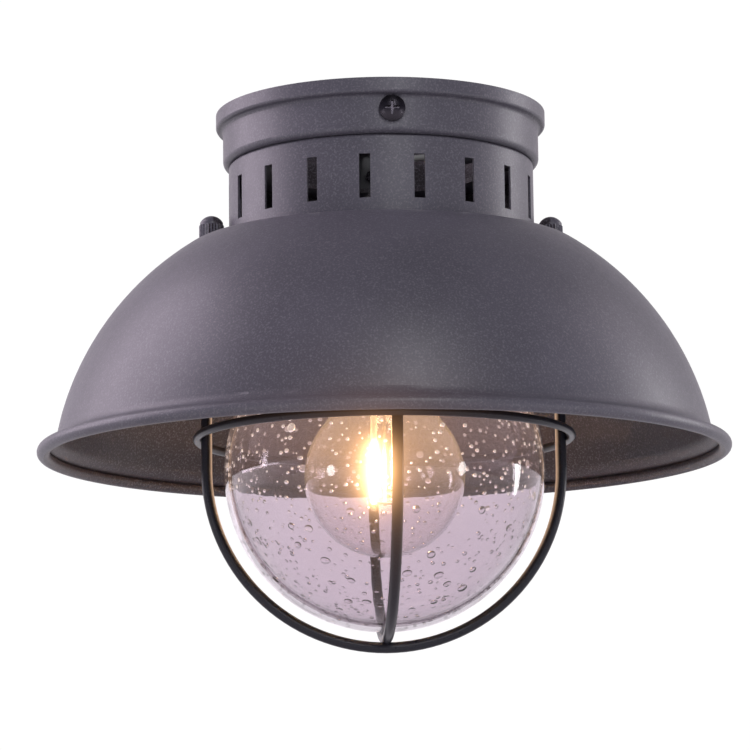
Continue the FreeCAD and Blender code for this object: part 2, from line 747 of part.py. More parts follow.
def side_hoop_leg(side):
    """Centre line of a leg, from its stud's tip down to the hoop's half circle."""
    shift = HOOP_R - STUD_CIRCLE_R
    turn, radius_sum = s_bend(shift, LEG_BEND_HEIGHT)
    bend = radius_sum / 2
    bend_top = CROWN_Z - LEG_BEND_DROP
    upper = point(STUD_CIRCLE_R + bend, bend_top)
    lower = point(HOOP_R - bend, bend_top - LEG_BEND_HEIGHT)
    tip = point(STUD_CIRCLE_R, CROWN_Z + STUD_ABOVE_CROWN)
    upper_start = on_circle(upper, bend, 180)
    meeting = on_circle(upper, bend, 180 + turn)
    lower_end = on_circle(lower, bend, 0)
    foot = point(HOOP_R, SIDE_HOOP_Z)
    edges = [
        line(tip, upper_start),
        arc(upper, upper_start, meeting),
        arc(lower, meeting, lower_end),
        line(lower_end, foot),
    ]
    leg = Part.Wire(edges)
    if side < 0:
        leg = leg.mirror(Vector(), Vector(1, 0, 0))
    return leg


def side_hoop():
    left_foot = point(-HOOP_R, SIDE_HOOP_Z)
    right_foot = point(HOOP_R, SIDE_HOOP_Z)
    bottom = point(0, SIDE_HOOP_Z - HOOP_R)
    half_circle = Part.Arc(right_foot, bottom, left_foot).toShape()
    edges = side_hoop_leg(1).Edges + [half_circle] + side_hoop_leg(-1).Edges
    path = Part.Wire(Part.sortEdges(edges)[0])
    return round_wire(path, WIRE_R)


def plain_front_hoop():
    top_z = SEAT_RING_Z + FRONT_LEG_ABOVE_RING
    tops = [point(side * HOOP_R, top_z) for side in (1, -1)]
    feet = [point(side * HOOP_R, FRONT_HOOP_Z) for side in (1, -1)]
    bottom = point(0, FRONT_HOOP_Z - HOOP_R)
    path = Part.Wire([
        line(tops[0], feet[0]),
        Part.Arc(feet[0], bottom, feet[1]).toShape(),
        line(feet[1], tops[1]),
    ])
    return around(round_wire(path, WIRE_R), 90)


def front_hoop():
    return plain_front_hoop().cut(side_hoop())


def seat_ring():
    return torus(SEAT_RING_R, WIRE_R, SEAT_RING_Z).cut([side_hoop(), plain_front_hoop()])


def guard_ring():
    z = FITTER_Z - GUARD_RING_DROP
    return torus(GUARD_RING_R, GUARD_WIRE_R, z).cut([side_hoop(), plain_front_hoop()])


# ---- knobs ----

def knob(side):
    low = CROWN_Z + WASHER_HEIGHT
    top = low + KNOB_HEIGHT
    skirt_top = low + KNURL_HEIGHT
    shoulder_r = KNOB_R - KNURL_DEPTH
    dome_rise = top - skirt_top - KNOB_EDGE / 2
    dome_r = (shoulder_r ** 2 + dome_rise ** 2) / (2 * dome_rise)
    crown = point(0, top)
    dome_start = point(shoulder_r, top - dome_rise)
    body = revolved([
        line(point(0, low), point(shoulder_r, low)),
        line(point(shoulder_r, low), dome_start),
        arc(point(0, top - dome_r), dome_start, crown),
        line(crown, point(0, low)),
    ])
    corners = []
    for i in range(2 * KNURL_COUNT):
        angle = math.pi * i / KNURL_COUNT
        radius = KNOB_R if i % 2 == 0 else shoulder_r
        corners.append(Vector(radius * math.cos(angle), radius * math.sin(angle), low))
    skirt = polygon_face(corners).extrude(Vector(0, 0, KNURL_HEIGHT))
    chamfer = turned([
        (0, low), (shoulder_r, low), (KNOB_R, low + KNURL_DEPTH),
        (KNOB_R, skirt_top - KNURL_DEPTH), (shoulder_r, skirt_top), (0, skirt_top),
    ])
    spigot = cylinder(SPIGOT_R, CROWN_Z + SPIGOT_SHORT, low)
    bore = cylinder(
        WIRE_R + STUD_RUNNING_FIT, CROWN_Z, CROWN_Z + STUD_ABOVE_CROWN + KNOB_TIP_GAP
    )
    solid = body.fuse([skirt.common(chamfer), spigot]).cut(bore)
    return moved(solid, side * STUD_CIRCLE_R, 0, 0)


def knob_washer(side):
    return washer(
        SPIGOT_R + SPIGOT_RUNNING_FIT, WASHER_R, CROWN_Z, CROWN_Z + WASHER_HEIGHT, side * STUD_CIRCLE_R
    )


# ---- socket, bridge and leads ----

def socket_bridge():
    foot_z = CROWN_Z + BRIDGE_SHEET / 2
    top_z = CROWN_Z + BRIDGE_HEIGHT - BRIDGE_SHEET / 2
    riser_x = BRIDGE_HALF_SPAN - BRIDGE_SHEET / 2
    half = [(BRIDGE_FOOT_END, foot_z), (riser_x, foot_z), (riser_x, top_z)]
    points = [point(-x, z) for x, z in half] + [point(x, z) for x, z in reversed(half)]
    strip = bent_strip(points, BRIDGE_BEND, BRIDGE_SHEET, BRIDGE_WIDTH, Vector(0, 1, 0))
    top = CROWN_Z + BRIDGE_HEIGHT
    screw_hole = cylinder(M4_R, CROWN_Z, CROWN_Z + BRIDGE_SHEET, BRIDGE_SCREW_X)
    holes = [cylinder(NIPPLE_R, top - BRIDGE_SHEET, top), screw_hole, around(screw_hole, 180)]
    return cut_each(strip, holes)


def nipple():
    top = CROWN_Z + BRIDGE_HEIGHT + LOCKNUT_HEIGHT + NIPPLE_ABOVE_NUT
    return washer(NIPPLE_BORE_R, NIPPLE_R, SOCKET_TOP_Z - NIPPLE_IN_SOCKET, top)


def nipple_locknut():
    low = CROWN_Z + BRIDGE_HEIGHT
    return nut(NIPPLE_R, LOCKNUT_R, low, low + LOCKNUT_HEIGHT, 0, 0)


def nipple_washer():
    return washer(NIPPLE_R, NIPPLE_WASHER_R, SOCKET_TOP_Z, SOCKET_TOP_Z + NIPPLE_WASHER_HEIGHT)


def shell_bore_r():
    return CAP_R + CAP_RUNNING_FIT


def socket_body():
    shell_r = shell_bore_r() + SHELL_SHEET
    neck_z = SOCKET_Z + SOCKET_LIP_HEIGHT
    body = turned([
        (0, SOCKET_Z), (SOCKET_LIP_R - SOCKET_EDGE, SOCKET_Z), (SOCKET_LIP_R, SOCKET_Z + SOCKET_EDGE),
        (SOCKET_LIP_R, neck_z), (SOCKET_R, neck_z + SOCKET_LIP_R - SOCKET_R),
        (SOCKET_R, SOCKET_TOP_Z - SOCKET_EDGE), (SOCKET_R - SOCKET_EDGE, SOCKET_TOP_Z), (0, SOCKET_TOP_Z),
    ])
    chamber_top = SHELL_TOP_Z + CONTACT_CHAMBER_HEIGHT
    cuts = [
        cylinder(shell_r, SOCKET_Z, SHELL_TOP_Z),
        cylinder(CONTACT_CHAMBER_R, SHELL_TOP_Z, chamber_top),
        cylinder(CONTACT_RISER_R, chamber_top, chamber_top + CONTACT_RISER_SEAT),
        cylinder(NIPPLE_R, SOCKET_TOP_Z - NIPPLE_IN_SOCKET, SOCKET_TOP_Z),
    ]
    lead_hole = cylinder(LEAD_R, SOCKET_TOP_Z - LEAD_SEAT, SOCKET_TOP_Z, 0, LEAD_EXIT_Y)
    terminal_low = SOCKET_TOP_Z - TERMINAL_DEPTH
    terminal_hole = cylinder(TERMINAL_R, terminal_low, SOCKET_TOP_Z, TERMINAL_X, TERMINAL_Y)
    for angle in (0, 180):
        cuts.append(around(lead_hole, angle))
        cuts.append(around(terminal_hole, angle))
    return cut_each(body, cuts)


def socket_shell():
    bore_r = shell_bore_r()
    tube = washer(bore_r, bore_r + SHELL_SHEET, SHELL_Z, SHELL_TOP_Z)
    lip = washer(bore_r - SHELL_LIP, bore_r, SHELL_TOP_Z - SHELL_SHEET, SHELL_TOP_Z)
    return tube.fuse(lip).removeSplitter()


def centre_contact():
    chamber_top = SHELL_TOP_Z + CONTACT_CHAMBER_HEIGHT
    disc = cylinder(CONTACT_DISC_R, CONTACT_Z, CONTACT_Z + CONTACT_SHEET)
    riser = cylinder(CONTACT_RISER_R, CONTACT_Z + CONTACT_SHEET, chamber_top + CONTACT_RISER_SEAT)
    return disc.fuse(riser)


def terminal_screws():
    screw = pan_screw(TERMINAL_R, TERMINAL_DEPTH, TERMINAL_HEAD_R, TERMINAL_HEAD_HEIGHT,
                      TERMINAL_HEAD_HEIGHT / 2)
    return ring_of(moved(screw, TERMINAL_X, TERMINAL_Y, SOCKET_TOP_Z), polar(2))


def lead_points():
    """The live lead's route, from its seat in the socket to the end inside its connector."""
    seat = Vector(0, -LEAD_EXIT_Y, SOCKET_TOP_Z - LEAD_SEAT)
    first_bend = Vector(0, -LEAD_EXIT_Y, SOCKET_TOP_Z + LEAD_RISE)
    elbow = Vector(*LEAD_ELBOW)
    mouth = Vector(*LEAD_END)
    end = toward(mouth, mouth * 2 - elbow, CONNECTOR_GRIP)
    return [seat, first_bend, elbow, end]


def lead():
    points = lead_points()
    runs = [(b - a).Length for a, b in zip(points, points[1:])]
    radii = []
    for i in range(1, len(points) - 1):
        turn = (points[i] - points[i - 1]).getAngle(points[i + 1] - points[i])
        radii.append(LEAD_BEND_SHARE * min(runs[i - 1], runs[i]) / math.tan(turn / 2))
    return round_wire(rounded_path(points, radii), LEAD_R)


def wire_connector():
    end = lead_points()[-1]
    mouth = Vector(*LEAD_END)
    cone = Part.makeCone(CONNECTOR_MOUTH_R, CONNECTOR_TIP_R, CONNECTOR_LENGTH)
    bore = cylinder(LEAD_R, 0, CONNECTOR_GRIP)
    wing_r = CONNECTOR_MOUTH_R + CONNECTOR_WING
    wing_corner = Vector(-wing_r, -CONNECTOR_WING_SHEET / 2, 0)
    wing = Part.makeBox(2 * wing_r, CONNECTOR_WING_SHEET, CONNECTOR_LENGTH / 2, wing_corner)
    body = cone.fuse(wing).cut(bore)
    body.Placement = FreeCAD.Placement(mouth, Rotation(Z_AXIS, end - mouth))
    return body


def wire_connectors():
    return ring_of(wire_connector(), polar(2))


# ---- bulb ----

def cap_shoulder_z():
    return BULB_TOP_Z - BULB_CONTACT_HEIGHT - INSULATOR_HEIGHT - CAP_CONE_HEIGHT


def glass_top_z():
    return cap_shoulder_z() - CAP_HEIGHT + CAP_GLASS_OVERLAP


def bulb_envelope():
    """A ball that narrows through one hollow curve into the neck inside the cap."""
    centre = point(0, BULB_Z)
    neck_z = cap_shoulder_z() - CAP_HEIGHT - BULB_NECK_STRAIGHT + CAP_GLASS_OVERLAP
    rise = neck_z - BULB_Z
    hollow_r = (rise ** 2 / (BULB_R - BULB_NECK_R) - (BULB_R + BULB_NECK_R)) / 2
    hollow = point(BULB_NECK_R + hollow_r, neck_z)

    def wall(inset):
        pole = point(0, BULB_Z - BULB_R + inset)
        belly = on_circle(centre, BULB_R - inset, 0)
        ball_end = toward(centre, hollow, BULB_R - inset)
        neck = on_circle(hollow, hollow_r + inset, 180)
        top = point(BULB_NECK_R - inset, glass_top_z())
        edges = [
            Part.Arc(pole, belly, ball_end).toShape(),
            arc(hollow, ball_end, neck),
            line(neck, top),
        ]
        return edges, pole, top

    outside, outside_pole, outside_top = wall(0)
    inside, inside_pole, inside_top = wall(BULB_GLASS)
    ends = [line(outside_pole, inside_pole), line(outside_top, inside_top)]
    return closed_face(Part.sortEdges(outside + inside + ends)[0]).revolve(Vector(), Z_AXIS, 360)


def bulb_cap():
    """The ribbed screw shell, closed at its top by a cone that holds the insulator."""
    shoulder = cap_shoulder_z()
    low = shoulder - CAP_HEIGHT
    root_r = CAP_R - CAP_THREAD_DEPTH
    inner_r = root_r - CAP_WALL
    cone_top = shoulder + CAP_CONE_HEIGHT
    thread_top = shoulder - CAP_THREAD_DEPTH
    quarter = CAP_THREAD_PITCH / 4
    edges = [
        line(point(CAP_CONE_R - CAP_WALL, cone_top), point(CAP_CONE_R, cone_top)),
        line(point(CAP_CONE_R, cone_top), point(root_r, shoulder)),
        line(point(root_r, shoulder), point(root_r, thread_top)),
    ]
    z = thread_top
    for _ in range(CAP_THREAD_TURNS):
        crest_end = point(root_r, z - 2 * quarter)
        root_end = point(root_r, z - 4 * quarter)
        edges.append(Part.Arc(point(root_r, z), point(CAP_R, z - quarter), crest_end).toShape())
        edges.append(line(crest_end, root_end))
        z = root_end.z
    edges += [
        line(point(root_r, z), point(root_r, low)),
        line(point(root_r, low), point(inner_r, low)),
        line(point(inner_r, low), point(inner_r, shoulder - CAP_WALL)),
        line(point(inner_r, shoulder - CAP_WALL), point(CAP_CONE_R - CAP_WALL, cone_top)),
    ]
    return revolved(edges)


def bulb_insulator():
    low = cap_shoulder_z() + CAP_CONE_HEIGHT
    high = low + INSULATOR_HEIGHT
    seat = low - CAP_CONE_HEIGHT / 2
    plug_r = CAP_CONE_R - CAP_WALL
    return turned([(0, seat), (plug_r, seat), (plug_r, low), (INSULATOR_TIP_R, high), (0, high)])


def bulb_contact():
    low = cap_shoulder_z() + CAP_CONE_HEIGHT + INSULATOR_HEIGHT
    return cylinder(BULB_CONTACT_R, low, low + BULB_CONTACT_HEIGHT)


def stem_tip_z():
    return glass_top_z() - STEM_LENGTH


def bulb_stem():
    top = glass_top_z()
    flare_r = BULB_NECK_R - BULB_GLASS
    return turned([
        (0, top), (flare_r, top), (flare_r, top - BULB_GLASS), (STEM_BASE_R, top - STEM_FLARE_HEIGHT),
        (STEM_R, top - STEM_FLARE_HEIGHT - STEM_BASE_R), (STEM_R, stem_tip_z()), (0, stem_tip_z()),
    ])


def filament_top_z():
    return stem_tip_z() - FILAMENT_BELOW_STEM


def filament_supports():
    """A rod below the stem with a star of arms at each end of the filaments."""
    upper_z = filament_top_z() + SUPPORT_ARM_R
    lower_z = filament_top_z() - FILAMENT_LENGTH - SUPPORT_ARM_R
    rod = cylinder(SUPPORT_R, lower_z - SUPPORT_TIP, stem_tip_z())
    arms = []
    for angle in polar(FILAMENT_COUNT, 180.0 / FILAMENT_COUNT):
        for z in (upper_z, lower_z):
            arm = Part.makeCylinder(SUPPORT_ARM_R, FILAMENT_CIRCLE_R, Vector(0, 0, z), Vector(1, 0, 0))
            arms.append(around(arm, angle))
    return rod.fuse(arms)


def bulb_filaments():
    top = filament_top_z()
    stick = cylinder(FILAMENT_R, top - FILAMENT_LENGTH, top, FILAMENT_CIRCLE_R)
    return ring_of(stick, polar(FILAMENT_COUNT, 180.0 / FILAMENT_COUNT))


NODES = {
    "mounting_strap": mounting_strap,
    "ground_screw": ground_screw,
    "canopy": canopy,
    "canopy_screws": canopy_screws,
    "vent_neck": vent_neck,
    "neck_rivets": neck_rivets,
    "shade": shade,
    "shade_screws": shade_screws,
    "shade_nuts": shade_nuts,
    "fitter_cup": fitter_cup,
    "globe": globe,
    "upper_gasket": upper_gasket,
    "lower_gasket": lower_gasket,
    "side_hoop": side_hoop,
    "front_hoop": front_hoop,
    "seat_ring": seat_ring,
    "guard_ring": guard_ring,
    "knob_left": lambda: knob(-1),
    "knob_right": lambda: knob(1),
    "knob_washer_left": lambda: knob_washer(-1),
    "knob_washer_right": lambda: knob_washer(1),
    "socket_bridge": socket_bridge,
    "bridge_screws": bridge_screws,
    "bridge_nuts": bridge_nuts,
    "nipple": nipple,
    "nipple_locknut": nipple_locknut,
    "nipple_washer": nipple_washer,
    "socket_body": socket_body,
    "socket_shell": socket_shell,
    "centre_contact": centre_contact,
    "terminal_screws": terminal_screws,
    "lead_live": lead,
    "lead_neutral": lambda: around(lead(), 180),
    "wire_connectors": wire_connectors,
    "bulb_envelope": bulb_envelope,
    "bulb_cap": bulb_cap,
    "bulb_insulator": bulb_insulator,
    "bulb_contact": bulb_contact,
    "bulb_stem": bulb_stem,
    "filament_supports": filament_supports,
    "bulb_filaments": bulb_filaments,
}

os.makedirs("parts", exist_ok=True)
for name, make in NODES.items():
    make().exportStep("parts/" + name + ".step")
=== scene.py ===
import math
import random

import bmesh
import bpy
from mathutils import Matrix, Vector


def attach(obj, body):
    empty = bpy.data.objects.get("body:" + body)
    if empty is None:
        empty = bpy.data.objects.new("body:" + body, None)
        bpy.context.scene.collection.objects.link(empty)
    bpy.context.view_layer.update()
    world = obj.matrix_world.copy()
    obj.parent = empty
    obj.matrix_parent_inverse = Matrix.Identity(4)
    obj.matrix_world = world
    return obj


# Looks of the ceiling lantern, in metres. The ceiling is z = 0 and the front is -Y.

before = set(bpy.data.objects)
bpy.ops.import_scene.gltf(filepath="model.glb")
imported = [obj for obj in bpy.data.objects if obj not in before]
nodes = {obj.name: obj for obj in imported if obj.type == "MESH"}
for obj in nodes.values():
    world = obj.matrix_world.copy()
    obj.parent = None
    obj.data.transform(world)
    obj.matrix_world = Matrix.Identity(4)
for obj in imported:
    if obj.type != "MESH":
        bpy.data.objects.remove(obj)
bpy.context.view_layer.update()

# ---- camera: in front, a little to the left, below the shade's rim and looking up ----

CAMERA_PLACE = Vector((-0.0892, -1.2306, -0.2940))
CAMERA_TURN = math.radians(4.002)
CAMERA_PITCH = math.radians(9.051)
CAMERA_ROLL = math.radians(-0.685)
CAMERA_LENS = 162.84
CAMERA_SENSOR = 36.0
CAMERA_NEAR = 0.01
CAMERA_FAR = 100.0


def add_camera():
    level = math.cos(CAMERA_PITCH)
    look = Vector(
        (math.sin(CAMERA_TURN) * level, math.cos(CAMERA_TURN) * level, math.sin(CAMERA_PITCH))
    )
    right = look.cross(Vector((0, 0, 1))).normalized()
    up = right.cross(look)
    turn = Matrix((right, up, -look)).transposed() @ Matrix.Rotation(CAMERA_ROLL, 3, "Z")
    data = bpy.data.cameras.new("camera")
    data.sensor_width = CAMERA_SENSOR
    data.lens = CAMERA_LENS
    data.clip_start = CAMERA_NEAR
    data.clip_end = CAMERA_FAR
    camera = bpy.data.objects.new("camera", data)
    camera.matrix_world = Matrix.Translation(CAMERA_PLACE) @ turn.to_4x4()
    bpy.context.scene.collection.objects.link(camera)
    bpy.context.scene.camera = camera


# ---- nodes that the world and the finishes share ----

# Where a noise counts as low and as high, for finishes that go from one tone to another.
NOISE_LOW = 0.3
NOISE_HIGH = 0.7


def give(tree, value, socket):
    """Feed value, which is a socket or a constant, to socket."""
    if isinstance(value, bpy.types.NodeSocket):
        tree.links.new(value, socket)
    else:
        socket.default_value = value


def node(tree, kind, **inputs):
    """A new node with inputs set by name, where _ stands for a space."""
    made = tree.nodes.new(kind)
    for key, value in inputs.items():
        give(tree, value, made.inputs[key.replace("_", " ")])
    return made


def maths(tree, operation, *values, kind="ShaderNodeMath", result="Value"):
    """The result of a maths node; each value is a socket or a constant."""
    made = tree.nodes.new(kind)
    made.operation = operation
    for socket, value in zip(made.inputs, values):
        give(tree, value, socket)
    return made.outputs[result]


def vector_maths(tree, operation, *values, result="Vector"):
    return maths(tree, operation, *values, kind="ShaderNodeVectorMath", result=result)


def map_range(tree, value, limits, smooth=False):
    """value mapped by limits, which may name From Min, From Max, To Min and To Max."""
    made = tree.nodes.new("ShaderNodeMapRange")
    if smooth:
        made.interpolation_type = "SMOOTHSTEP"
    for key, limit in limits.items():
        made.inputs[key].default_value = limit
    give(tree, value, made.inputs["Value"])
    return made.outputs[0]


def spread(tree, value, low, high):
    """value from 0 to 1 mapped to low to high."""
    return map_range(tree, value, {"To Min": low, "To Max": high})


def half_range(tree, value):
    """value from -1 to 1 mapped to 0 to 1."""
    return maths(tree, "MULTIPLY_ADD", value, 0.5, 0.5)


def rise(tree, low, high):
    """0 at the height low and 1 at the height high."""
    place = tree.nodes.new("ShaderNodeTexCoord")
    parts = node(tree, "ShaderNodeSeparateXYZ", Vector=place.outputs["Object"])
    return map_range(tree, parts.outputs["Z"], {"From Min": low, "From Max": high}, smooth=True)


def faces_axis(tree, start=-0.02, full=-0.12):
    """1 on surfaces that face the lantern's upright axis, as its insides do, and 0 on the others.

    start and full are the cosines, from the outward direction, between which it grows.
    """
    place = tree.nodes.new("ShaderNodeTexCoord")
    flat = vector_maths(tree, "MULTIPLY", place.outputs["Object"], (1, 1, 0))
    out = vector_maths(tree, "NORMALIZE", flat)
    facing = vector_maths(tree, "DOT_PRODUCT", out, place.outputs["Normal"], result="Value")
    return map_range(tree, facing, {"From Min": start, "From Max": full})


def noise(tree, size, detail=2.0, roughness=0.5, stretch=(1, 1, 1)):
    """Noise whose features are about size metres, in the object's own coordinates."""
    place = tree.nodes.new("ShaderNodeTexCoord")
    scale = node(tree, "ShaderNodeMapping", Vector=place.outputs["Object"], Scale=stretch)
    made = node(
        tree,
        "ShaderNodeTexNoise",
        Vector=scale.outputs[0],
        Scale=1.0 / size,
        Detail=detail,
        Roughness=roughness,
    )
    return made.outputs["Fac"]


def ramp(tree, value, stops):
    """Colours or grey levels along value: stops are (position, colour or number)."""
    made = tree.nodes.new("ShaderNodeValToRGB")
    elements = made.color_ramp.elements
    while len(elements) < len(stops):
        elements.new(0.5)
    for element, (position, colour) in zip(elements, stops):
        if isinstance(colour, (int, float)):
            colour = (colour, colour, colour)
        element.position = position
        element.color = (*colour, 1)
    give(tree, value, made.inputs[0])
    return made.outputs[0]


def two_tone(tree, value, low, high):
    """A noise's low places in one tone and its high places in another."""
    return ramp(tree, value, ((NOISE_LOW, low), (NOISE_HIGH, high)))


def mottled(tree, colour, size, detail=2.0, darkest=1.0, lightest=1.0):
    """colour with slow changes between two shares of its brightness."""
    low, high = (tuple(part * share for part in colour) for share in (darkest, lightest))
    return two_tone(tree, noise(tree, size, detail), low, high)


def blend(tree, share, a, b, mode="MIX"):
    """a and b mixed by share; a and b are sockets or colours."""
    made = tree.nodes.new("ShaderNodeMix")
    made.data_type = "RGBA"
    made.blend_type = mode
    sockets = {socket.identifier: socket for socket in made.inputs}
    give(tree, share, sockets["Factor_Float"])
    for key, colour in (("A_Color", a), ("B_Color", b)):
        if not isinstance(colour, bpy.types.NodeSocket):
            colour = (*colour, 1)
        give(tree, colour, sockets[key])
    return next(socket for socket in made.outputs if socket.identifier == "Result_Color")


# ---- light: a white room, darker in front, above and below, with soft boxes ----

OBJECT_CENTRE = Vector((0, 0, -0.09))

# name: shape, turn in degrees from the front toward the left, rise in degrees, distance, width,
# height, brightness, colour
SOFT_BOXES = {
    "box_left": ("RECTANGLE", 105, 27, 1.3, 1.05, 1.2, 3.2, (1.0, 0.86, 1.0)),
    "lamp_front_left": ("ELLIPSE", 42, -6, 1.6, 0.16, 0.20, 7.0, (1.0, 1.0, 1.0)),
    "box_front": ("RECTANGLE", -8, 30, 1.6, 0.34, 1.1, 6.2, (0.98, 0.98, 1.0)),
    "lamp_front_right": ("ELLIPSE", -52, -4, 1.6, 0.17, 0.24, 7.0, (1.0, 1.0, 1.0)),
    "box_right": ("RECTANGLE", -104, 24, 1.4, 0.8, 1.0, 1.2, (1.0, 0.89, 1.0)),
    "strip_right": ("ELLIPSE", -104, 8, 1.3, 0.17, 0.86, 7.5, (1.0, 1.0, 1.0)),
}

# The room's tone along Y, Z and X, where 0 is the front, bottom or left and 1 is opposite.
ROOM_DEPTH = ((0.30, (0.26, 0.255, 0.33)), (0.46, (0.60, 0.57, 0.65)), (0.62, (1.0, 0.93, 1.0)))
ROOM_HEIGHT = ((0.1, 0.35), (0.35, 0.85), (0.5, 1.0), (0.56, 0.9), (0.78, 0.54), (0.95, 0.15))
ROOM_SIDE = ((0.5, 1.0), (0.95, 0.72))
ROOM_BRIGHTNESS = 1.12
# The camera sees a plain white backdrop in place of the room.
BACKDROP_BRIGHTNESS = 1.02


def add_soft_box(name, shape, turn, rise_angle, distance, width, height, brightness, colour):
    turn, rise_angle = math.radians(turn), math.radians(rise_angle)
    level = math.cos(rise_angle)
    out = Vector((-math.sin(turn) * level, -math.cos(turn) * level, math.sin(rise_angle)))
    data = bpy.data.lights.new(name, "AREA")
    data.shape = shape
    data.size = width
    data.size_y = height
    data.color = colour
    data.energy = brightness * math.pi * width * height
    light = bpy.data.objects.new(name, data)
    light.location = OBJECT_CENTRE + out * distance
    light.rotation_mode = "QUATERNION"
    light.rotation_quaternion = out.to_track_quat("Z", "Y")
    light.visible_camera = False
    bpy.context.scene.collection.objects.link(light)


def add_world():
    world = bpy.data.worlds.new("white_room")
    world.use_nodes = True
    tree = world.node_tree
    tree.nodes.clear()
    place = tree.nodes.new("ShaderNodeTexCoord")
    parts = node(tree, "ShaderNodeSeparateXYZ", Vector=place.outputs["Generated"])
    depth, height, side = (
        ramp(tree, half_range(tree, parts.outputs[axis]), stops)
        for axis, stops in (("Y", ROOM_DEPTH), ("Z", ROOM_HEIGHT), ("X", ROOM_SIDE))
    )
    level = blend(tree, 1.0, height, side, "MULTIPLY")
    tone = blend(tree, 1.0, depth, level, "MULTIPLY")
    room = node(tree, "ShaderNodeBackground", Color=tone, Strength=ROOM_BRIGHTNESS)
    backdrop = node(
        tree, "ShaderNodeBackground", Color=(1, 1, 1, 1), Strength=BACKDROP_BRIGHTNESS
    )
    path = tree.nodes.new("ShaderNodeLightPath")
    mix = tree.nodes.new("ShaderNodeMixShader")
    out = tree.nodes.new("ShaderNodeOutputWorld")
    tree.links.new(path.outputs["Is Camera Ray"], mix.inputs[0])
    tree.links.new(room.outputs[0], mix.inputs[1])
    tree.links.new(backdrop.outputs[0], mix.inputs[2])
    tree.links.new(mix.outputs[0], out.inputs[0])
    bpy.context.scene.world = world


# ---- finishes ----

SHADE_COAT = {
    "colour": (0.089, 0.084, 0.105),
    "roughness": 0.42,
    "speck": (0.24, 0.23, 0.26),
}
CAGE_COAT = {
    "colour": (0.016, 0.017, 0.025),
    "roughness": 0.30,
    "speck": (0.036, 0.038, 0.050),
    "shine": 0.35,
}
# Painted shade: the shares of a coat's red, green and blue that are left on surfaces that face
# the axis, so the insides look darker and warmer, as shade and the bulb's warm light make them.
INSIDE_PAINTED_SHADE = (0.36, 0.29, 0.29)
# How much of the speck's colour shows at each level of the fine noise.
SPECKS = ((0.50, 0.0), (0.72, 0.44))

# Painted light: the bulb's warm light on the side hoop is a glow in its coat. It grows with how
# far a surface faces the axis, between two cosines, and with height, from its low share to full
# between two heights.
LEG_LIGHT_COLOUR = (1.0, 0.64, 0.42)
LEG_LIGHT_STRENGTH = 0.50
LEG_LIGHT_LOW_SHARE = 0.25
LEG_LIGHT_FACING = (-0.45, -0.95)
LEG_LIGHT_HEIGHTS = (-0.190, -0.150)

# Painted light: each glass glows by itself for the bulb's light scattered in it, with sparkles in
# the bubbles. Each gives its colour, its strength, and the heights between which it grows from
# none to full.
GLOBE_PAINTED_GLOW = ((1.0, 0.72, 0.60), 0.040, (-0.150, -0.116))
BUBBLE_PAINTED_GLOW = ((1.0, 0.84, 0.70), 0.22, (-0.156, -0.136))
BULB_PAINTED_GLOW = ((1.0, 0.68, 0.34), 0.110, (-0.150, -0.122))

# Painted shade: the porcelain gets dark tones, as it looks in the shade behind the neck's slots.
PORCELAIN_SHADED_TONES = ((0.100, 0.085, 0.075), (0.135, 0.115, 0.100))
PORCELAIN_SPECK = (0.20, 0.17, 0.14)
PORCELAIN_SPECKS = ((0.70, 0.0), (0.80, 0.5))

FILAMENT_METAL = ((1.0, 0.72, 0.34), (1.0, 0.85, 0.55))
FILAMENT_GLOW = ((1.0, 0.62, 0.26), (1.0, 0.86, 0.62))
FILAMENT_BRIGHTNESS = 60.0
FILAMENT_TOP_SHARE = 0.008
FILAMENT_FADES = (-0.134, -0.121)


def new_material(name):
    material = bpy.data.materials.new(name)
    material.use_nodes = True
    tree = material.node_tree
    tree.nodes.clear()
    shader = tree.nodes.new("ShaderNodeBsdfPrincipled")
    out = tree.nodes.new("ShaderNodeOutputMaterial")
    tree.links.new(shader.outputs[0], out.inputs[0])
    return material, tree, shader


def bump(tree, shader, height, distance, strength):
    made = node(tree, "ShaderNodeBump", Height=height, Strength=strength, Distance=distance)
    give(tree, made.outputs[0], shader.inputs["Normal"])


def roughen(tree, shader, value, low, high):
    give(tree, spread(tree, value, low, high), shader.inputs["Roughness"])


def glow(tree, shader, colour, level):
    give(tree, (*colour, 1), shader.inputs["Emission Color"])
    give(tree, level, shader.inputs["Emission Strength"])


def powder_coat(name, colour, roughness, speck, shine=0.5):
    """Fine-textured powder coat: orange peel with pale specks, slow changes of tone, and painted
    shade, darker and warmer, on surfaces that face the axis.
    """
    material, tree, shader = new_material(name)
    outside = mottled(tree, colour, size=0.035, detail=3.0, darkest=0.9, lightest=1.1)
    # Painted shade: surfaces that face the axis take a darker, warmer tone.
    shaded_inside = tuple(part * share for part, share in zip(colour, INSIDE_PAINTED_SHADE))
    tone = blend(tree, faces_axis(tree), outside, shaded_inside)
    specks = ramp(tree, noise(tree, size=0.0007, roughness=0.6), SPECKS)
    give(tree, blend(tree, specks, tone, speck), shader.inputs["Base Color"])
    roughen(tree, shader, noise(tree, size=0.004), low=roughness - 0.06, high=roughness + 0.06)
    give(tree, shine, shader.inputs["Specular IOR Level"])
    peel = noise(tree, size=0.0009, roughness=0.55)
    bump(tree, shader, peel, distance=0.00006, strength=0.5)
    return material


def paint_inner_side_light(material):
    """Painted light: a glow in the coat for the bulb's warm light on the side of each wire that
    faces it, weaker toward the bottom.
    """
    tree = material.node_tree
    shader = next(made for made in tree.nodes if made.type == "BSDF_PRINCIPLED")
    facing = faces_axis(tree, *LEG_LIGHT_FACING)
    height = rise(tree, *LEG_LIGHT_HEIGHTS)
    low = LEG_LIGHT_LOW_SHARE * LEG_LIGHT_STRENGTH
    level = spread(tree, height, low, high=LEG_LIGHT_STRENGTH)
    glow(tree, shader, LEG_LIGHT_COLOUR, maths(tree, "MULTIPLY", facing, level))


